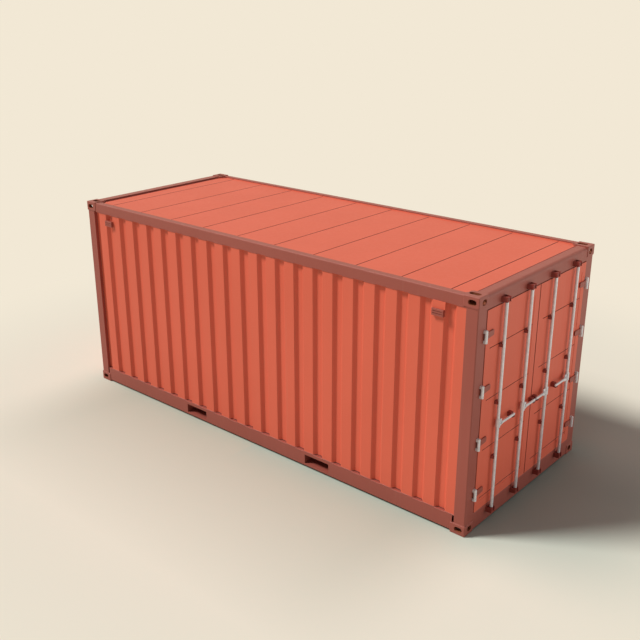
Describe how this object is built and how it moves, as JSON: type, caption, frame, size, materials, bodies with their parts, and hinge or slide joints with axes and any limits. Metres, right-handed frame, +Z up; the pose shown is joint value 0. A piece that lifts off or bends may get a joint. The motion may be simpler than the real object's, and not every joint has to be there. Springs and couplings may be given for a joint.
{
  "type": "twenty-foot shipping container",
  "caption": "Steel box container with corrugated sides, a seamed flat roof, corner fittings, fork pockets and double end doors held by lock rods.",
  "frame": {"origin": "on the ground at the centre of the four bottom corner fitting apertures", "axes": "+X along the length to the door end, +Y across, +Z up"},
  "size_m": [6.122, 2.48, 2.591],
  "materials": {
    "frame_paint": "satin paint",
    "panel_paint": "satin paint",
    "door_paint": "satin paint",
    "underside_paint": "matt paint",
    "fitting_paint": "satin paint",
    "zinc_steel": "dull zinc plate",
    "floor_plywood": "oiled plywood",
    "seal_rubber": "matt rubber"
  },
  "bodies": {
    "box": {"bottom_front_fittings": "frame_paint", "bottom_door_fittings": "frame_paint", "top_front_fittings": "frame_paint", "top_door_fittings": "frame_paint", "front_left_post": "frame_paint", "front_right_post": "frame_paint", "door_left_post": "frame_paint", "door_right_post": "frame_paint", "top_left_rail": "frame_paint", "top_right_rail": "frame_paint", "bottom_left_rail": "frame_paint", "bottom_right_rail": "frame_paint", "front_top_rail": "frame_paint", "front_bottom_rail": "frame_paint", "door_header": "frame_paint", "door_sill": "frame_paint", "roof_corner_plates": "frame_paint", "cross_members": "underside_paint", "fork_pockets": "underside_paint", "left_side_wall": "panel_paint", "right_side_wall": "panel_paint", "front_wall": "panel_paint", "roof_panel": "panel_paint", "left_side_vents": "frame_paint", "right_side_vents": "frame_paint", "header_keepers": "fitting_paint", "sill_keepers": "fitting_paint", "left_hinge_lugs": "zinc_steel", "right_hinge_lugs": "zinc_steel", "floor_boards": "floor_plywood"},
    "left_door": {"left_door_frame": "door_paint", "left_door_panel": "door_paint", "left_door_gasket": "seal_rubber", "left_hinge_straps": "zinc_steel", "left_rod_guides": "fitting_paint", "left_handle_catches": "fitting_paint"},
    "right_door": {"right_door_frame": "door_paint", "right_door_panel": "door_paint", "right_door_gasket": "seal_rubber", "right_hinge_straps": "zinc_steel", "right_rod_guides": "fitting_paint", "right_handle_catches": "fitting_paint"},
    "lock_rod_1": {"lock_rod_1": "zinc_steel"},
    "handle_1": {"handle_1": "zinc_steel"},
    "lock_rod_2": {"lock_rod_2": "zinc_steel"},
    "handle_2": {"handle_2": "zinc_steel"},
    "lock_rod_3": {"lock_rod_3": "zinc_steel"},
    "handle_3": {"handle_3": "zinc_steel"},
    "lock_rod_4": {"lock_rod_4": "zinc_steel"},
    "handle_4": {"handle_4": "zinc_steel"}
  },
  "joints": [
    {"name": "left_door_hinge", "type": "hinge", "parent": "box", "child": "left_door", "pos_m": [3.045, -1.081, 0.441], "axis": [0, 0, -1], "range_deg": [0, 180]},
    {"name": "right_door_hinge", "type": "hinge", "parent": "box", "child": "right_door", "pos_m": [3.045, 1.081, 0.441], "axis": [0, 0, 1], "range_deg": [0, 180]},
    {"name": "lock_rod_1_turn", "type": "hinge", "parent": "left_door", "child": "lock_rod_1", "pos_m": [3.065, -0.762, 1.145], "axis": [0, 0, -1], "range_deg": [0, 100]},
    {"name": "lock_rod_2_turn", "type": "hinge", "parent": "left_door", "child": "lock_rod_2", "pos_m": [3.065, -0.2575, 1.145], "axis": [0, 0, -1], "range_deg": [0, 100]},
    {"name": "lock_rod_3_turn", "type": "hinge", "parent": "right_door", "child": "lock_rod_3", "pos_m": [3.065, 0.2575, 1.145], "axis": [0, 0, 1], "range_deg": [0, 100]},
    {"name": "lock_rod_4_turn", "type": "hinge", "parent": "right_door", "child": "lock_rod_4", "pos_m": [3.065, 0.762, 1.145], "axis": [0, 0, 1], "range_deg": [0, 100]},
    {"name": "handle_1_lift", "type": "hinge", "parent": "lock_rod_1", "child": "handle_1", "pos_m": [3.081, -0.716, 1.14], "axis": [1, 0, 0], "range_deg": [0, 25]},
    {"name": "handle_2_lift", "type": "hinge", "parent": "lock_rod_2", "child": "handle_2", "pos_m": [3.081, -0.2115, 1.14], "axis": [1, 0, 0], "range_deg": [0, 25]},
    {"name": "handle_3_lift", "type": "hinge", "parent": "lock_rod_3", "child": "handle_3", "pos_m": [3.081, 0.2115, 1.14], "axis": [-1, 0, 0], "range_deg": [0, 25]},
    {"name": "handle_4_lift", "type": "hinge", "parent": "lock_rod_4", "child": "handle_4", "pos_m": [3.081, 0.716, 1.14], "axis": [-1, 0, 0], "range_deg": [0, 25]}
  ]
}
